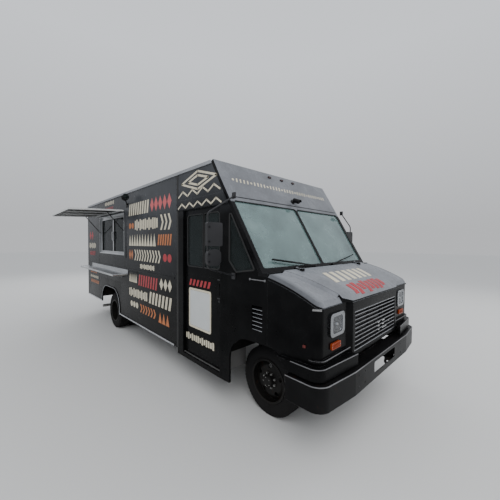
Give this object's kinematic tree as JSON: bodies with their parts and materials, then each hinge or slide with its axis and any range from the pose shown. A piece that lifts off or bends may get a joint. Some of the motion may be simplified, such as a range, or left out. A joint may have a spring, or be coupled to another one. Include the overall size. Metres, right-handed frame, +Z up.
{
  "type": "food truck",
  "caption": "Walk-in food truck: leaning windscreen, sliding cab doors, side serving hatch propped open, shelf, rear doors, twin rear wheels.",
  "frame": {"origin": "middle of the footprint on the ground", "axes": "front of the truck faces -Y, its kerb side with the serving hatch faces -X, +Z up"},
  "size_m": [3.751, 7.65, 2.979],
  "materials": {
    "black_steel": "matt black frame paint",
    "engine_grey": "oily casting",
    "black_bumper": "satin black",
    "body_black": "gloss black body paint, dusty low down",
    "roof_white": "light grey paint",
    "floor_grey": "tread plate",
    "glass_green": "tinted laminated glass",
    "glass_dark": "dark tinted glass",
    "bright_trim": "bright metal",
    "lamp_glass": "clear lens",
    "amber": "amber lens",
    "red_lens": "red lens",
    "stainless": "brushed stainless sheet",
    "hatch_white": "bright edged panel, dark below",
    "wheel_black": "semi-gloss black",
    "tyre_rubber": "worn rubber",
    "black_plastic": "moulded plastic",
    "seat_vinyl": "black vinyl",
    "zinc_steel": "zinc plated"
  },
  "bodies": {
    "truck": {"chassis_frame": "black_steel", "engine": "engine_grey", "fuel_tank": "black_steel", "exhaust": "zinc_steel", "springs": "black_steel", "front_axle": "black_steel", "rear_axle": "black_steel", "front_bumper": "black_bumper", "rear_bumper": "black_bumper", "floor": "floor_grey", "firewall": "floor_grey", "step_wells": "floor_grey", "wheel_housings": "black_steel", "kerb_wall": "body_black", "driver_wall": "body_black", "arch_panels": "body_black", "roof": "roof_white", "rear_frame": "body_black", "cab_front": "body_black", "cab_sides": "body_black", "windscreen": "glass_green", "side_glass": "glass_dark", "nose": "body_black", "grille": "bright_trim", "lamp_bezels": "bright_trim", "headlamps": "lamp_glass", "amber_lamps": "amber", "tail_lamps": "red_lens", "serving_window": "stainless", "shelf": "stainless", "counter": "stainless", "mirrors": "black_plastic", "wipers": "black_plastic", "driver_seat": "seat_vinyl", "dashboard": "black_plastic", "flood_lamp": "black_plastic"},
    "hood_body": {"hood": "body_black"},
    "hatch": {"serving_hatch": "hatch_white"},
    "stays": {"hatch_stays": "zinc_steel"},
    "knuckle_body_left": {"knuckle_left": "black_steel"},
    "front_wheel_body_left": {"wheel_front_left": "wheel_black", "tyre_front_left": "tyre_rubber"},
    "rear_wheel_body_left": {"wheel_rear_left": "wheel_black", "tyre_rear_left": "tyre_rubber"},
    "cab_door_body_left": {"cab_door_left": "body_black", "door_glass_left": "glass_dark"},
    "rear_door_body_left": {"rear_door_left": "body_black"},
    "knuckle_body_right": {"knuckle_right": "black_steel"},
    "front_wheel_body_right": {"wheel_front_right": "wheel_black", "tyre_front_right": "tyre_rubber"},
    "rear_wheel_body_right": {"wheel_rear_right": "wheel_black", "tyre_rear_right": "tyre_rubber"},
    "cab_door_body_right": {"cab_door_right": "body_black", "door_glass_right": "glass_dark"},
    "rear_door_body_right": {"rear_door_right": "body_black"}
  },
  "joints": [
    {"name": "steer_left", "type": "hinge", "parent": "truck", "child": "knuckle_body_left", "pos_m": [0.9835, -2.875, 0.392], "axis": [0, 0, 1], "range_deg": [-28, 28]},
    {"name": "front_wheel_left", "type": "hinge", "parent": "knuckle_body_left", "child": "front_wheel_body_left", "pos_m": [1.0785, -2.875, 0.392], "axis": [1, 0, 0], "continuous": true},
    {"name": "rear_wheel_left", "type": "hinge", "parent": "truck", "child": "rear_wheel_body_left", "pos_m": [1.1715, 1.675, 0.392], "axis": [1, 0, 0], "continuous": true},
    {"name": "cab_door_left", "type": "slide", "parent": "truck", "child": "cab_door_body_left", "axis": [0, 1, 0], "range_m": [0, 0.8]},
    {"name": "rear_door_left", "type": "hinge", "parent": "truck", "child": "rear_door_body_left", "pos_m": [1.1035, 3.639, 1.7], "axis": [0, 0, 1], "range_deg": [-110, 0]},
    {"name": "steer_right", "type": "hinge", "parent": "truck", "child": "knuckle_body_right", "pos_m": [-0.3965, -2.875, 0.392], "axis": [0, 0, 1], "range_deg": [-28, 28]},
    {"name": "front_wheel_right", "type": "hinge", "parent": "knuckle_body_right", "child": "front_wheel_body_right", "pos_m": [-0.4915, -2.875, 0.392], "axis": [1, 0, 0], "continuous": true},
    {"name": "rear_wheel_right", "type": "hinge", "parent": "truck", "child": "rear_wheel_body_right", "pos_m": [-0.5845, 1.675, 0.392], "axis": [1, 0, 0], "continuous": true},
    {"name": "cab_door_right", "type": "slide", "parent": "truck", "child": "cab_door_body_right", "axis": [0, 1, 0], "range_m": [0, 0.8]},
    {"name": "rear_door_right", "type": "hinge", "parent": "truck", "child": "rear_door_body_right", "pos_m": [-0.5165, 3.639, 1.7], "axis": [0, 0, 1], "range_deg": [0, 110]},
    {"name": "hatch_hinge", "type": "hinge", "parent": "truck", "child": "hatch", "pos_m": [-0.9505, 1.595, 2.591], "axis": [0, 1, 0], "range_deg": [-87.5, 0]},
    {"name": "stay_pivot", "type": "hinge", "parent": "hatch", "child": "stays", "pos_m": [-1.25022, 1.595, 2.57791], "axis": [0, 1, 0], "range_deg": [0, 127.18]},
    {"name": "hood_hinge", "type": "hinge", "parent": "truck", "child": "hood_body", "pos_m": [0.2935, -3.127, 1.69], "axis": [-1, 0, 0], "range_deg": [0, 55]}
  ],
  "couplings": [
    {"joint": "steer_right", "follows": "steer_left", "ratio": 1},
    {"joint": "stay_pivot", "follows": "hatch_hinge", "ratio": -1.4534}
  ]
}
